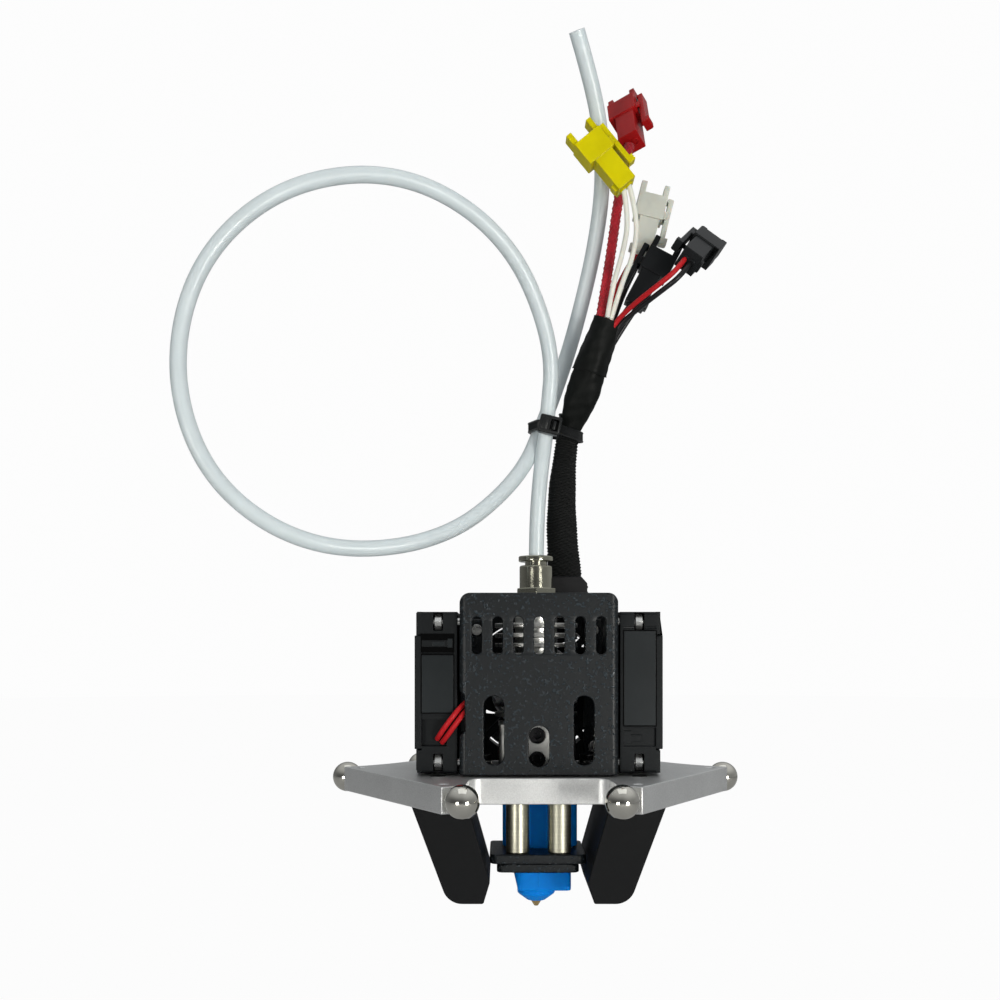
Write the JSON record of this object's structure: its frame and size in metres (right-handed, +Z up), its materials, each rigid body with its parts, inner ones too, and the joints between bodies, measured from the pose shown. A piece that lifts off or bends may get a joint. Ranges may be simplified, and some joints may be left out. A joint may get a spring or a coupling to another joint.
{
  "type": "hotend assembly",
  "caption": "Nozzle-down hotend on a six-ball effector plate, with side blowers and ducts, a folded shroud, a looped feed tube and a wiring harness with connectors.",
  "frame": {"origin": "on the nozzle axis, in the plane through the centres of the six balls", "axes": "+Z up, the nozzle points to -Z; -Y is the front, where the shroud is; +X is to the right seen from the front"},
  "size_m": [0.1426, 0.0966, 0.2207],
  "materials": {
    "aluminium_blasted": "bead-blasted",
    "ball_steel": "polished",
    "screw_steel": "black oxide and zinc",
    "nut_steel": "zinc plated",
    "powder_coat": "wrinkle powder coat",
    "fan_plastic": "moulded, satin",
    "impeller_plastic": "moulded",
    "sink_nickel": "bright nickel",
    "coupling_nickel": "bright nickel",
    "steel_satin": "satin turned",
    "brass": "turned",
    "block_aluminium": "machined",
    "silicone_blue": "matte silicone",
    "duct_plastic": "matte moulded",
    "relief_plastic": "moulded",
    "ptfe": "translucent PTFE",
    "woven_sleeve": "black woven braid",
    "heat_shrink_film": "heat-shrink, satin",
    "tie_nylon": "nylon",
    "plug_red": "moulded nylon",
    "plug_yellow": "moulded nylon",
    "plug_white": "moulded nylon",
    "plug_black": "moulded nylon",
    "braid_red": "glass-fibre braid",
    "wire_white": "PVC insulation",
    "wire_red": "PVC insulation",
    "wire_black": "PVC insulation"
  },
  "bodies": {
    "left_blower_spin_body": {"left_blower_impeller": "impeller_plastic"},
    "right_blower_spin_body": {"right_blower_impeller": "impeller_plastic"},
    "heat_sink_fan_spin_body": {"heat_sink_fan_rotor": "impeller_plastic"},
    "collet_body": {"coupling_collet": "coupling_nickel"},
    "latch_red_body": {"latch_red": "plug_red"},
    "latch_yellow_body": {"latch_yellow": "plug_yellow"},
    "latch_white_body": {"latch_white": "plug_white"},
    "latch_black_a_body": {"latch_black_a": "plug_black"},
    "latch_black_b_body": {"latch_black_b": "plug_black"},
    "root": {"effector_plate": "aluminium_blasted", "stud_set_screws": "screw_steel", "front_shroud": "powder_coat", "shroud_screws": "screw_steel", "left_blower_housing": "fan_plastic", "right_blower_housing": "fan_plastic", "left_blower_cover": "fan_plastic", "right_blower_cover": "fan_plastic", "blower_screws": "nut_steel", "blower_nuts": "nut_steel", "heat_sink_fan_frame": "fan_plastic", "fan_screws": "nut_steel", "heat_sink": "sink_nickel", "heat_sink_screws": "screw_steel", "heat_break_clamp_screws": "screw_steel", "coupling_body": "coupling_nickel", "heat_break": "steel_satin", "heater_block": "block_aluminium", "heater_cartridge": "steel_satin", "thermistor": "steel_satin", "nozzle": "brass", "silicone_sock": "silicone_blue", "guard_plate_upper": "powder_coat", "guard_plate_lower": "powder_coat", "standoffs": "steel_satin", "standoff_screws": "screw_steel", "left_duct": "duct_plastic", "right_duct": "duct_plastic", "duct_screws": "screw_steel", "strain_relief": "relief_plastic", "heat_shrink": "heat_shrink_film", "cable_tie": "tie_nylon", "bowden_tube": "ptfe", "harness_sleeve": "woven_sleeve", "red_lead": "braid_red", "yellow_lead": "wire_white", "white_lead": "wire_red", "black_lead_a": "wire_black", "black_lead_b": "wire_red", "left_blower_lead": "wire_red", "ball_stud_left_rear": "ball_steel", "ball_stud_left_front": "ball_steel", "ball_stud_right_front": "ball_steel", "ball_stud_right_rear": "ball_steel", "ball_stud_rear_right": "ball_steel", "ball_stud_rear_left": "ball_steel", "connector_red": "plug_red", "connector_yellow": "plug_yellow", "connector_white": "plug_white", "connector_black_a": "plug_black", "connector_black_b": "plug_black"}
  },
  "joints": [
    {"name": "left_blower_spin", "type": "hinge", "parent": "root", "child": "left_blower_spin_body", "pos_m": [-0.025, -0.001, 0.026], "axis": [1, 0, 0], "continuous": true},
    {"name": "right_blower_spin", "type": "hinge", "parent": "root", "child": "right_blower_spin_body", "pos_m": [0.025, -0.003, 0.026], "axis": [1, 0, 0], "continuous": true},
    {"name": "heat_sink_fan_spin", "type": "hinge", "parent": "root", "child": "heat_sink_fan_spin_body", "pos_m": [0, 0.018, 0.024], "axis": [0, 1, 0], "continuous": true},
    {"name": "collet_press", "type": "slide", "parent": "root", "child": "collet_body", "axis": [0, 0, 1], "range_m": [-0.0009, 0], "stiffness_N_per_m": 400, "springref_m": 0.0004},
    {"name": "latch_red_rock", "type": "hinge", "parent": "root", "child": "latch_red_body", "pos_m": [0.02768, -0.00788, 0.17482], "axis": [0.5348, 0.7131, -0.4532], "range_deg": [0, 6], "stiffness_Nm_per_rad": 0.002, "springref_deg": -2.86},
    {"name": "latch_yellow_rock", "type": "hinge", "parent": "root", "child": "latch_yellow_body", "pos_m": [0.01834, -0.022, 0.16061], "axis": [0, 1, 0], "range_deg": [0, 6], "stiffness_Nm_per_rad": 0.002, "springref_deg": -2.86},
    {"name": "latch_white_rock", "type": "hinge", "parent": "root", "child": "latch_white_body", "pos_m": [0.03436, -0.0024, 0.1482], "axis": [0, 1, 0], "range_deg": [0, 6], "stiffness_Nm_per_rad": 0.002, "springref_deg": -2.86},
    {"name": "latch_black_a_rock", "type": "hinge", "parent": "root", "child": "latch_black_a_body", "pos_m": [0.02602, -0.0088, 0.13505], "axis": [0, -1, 0], "range_deg": [0, 6], "stiffness_Nm_per_rad": 0.002, "springref_deg": -2.86},
    {"name": "latch_black_b_rock", "type": "hinge", "parent": "root", "child": "latch_black_b_body", "pos_m": [0.03801, -0.01339, 0.13949], "axis": [0.4251, -0.6708, 0.6077], "range_deg": [0, 6], "stiffness_Nm_per_rad": 0.002, "springref_deg": -2.86}
  ]
}
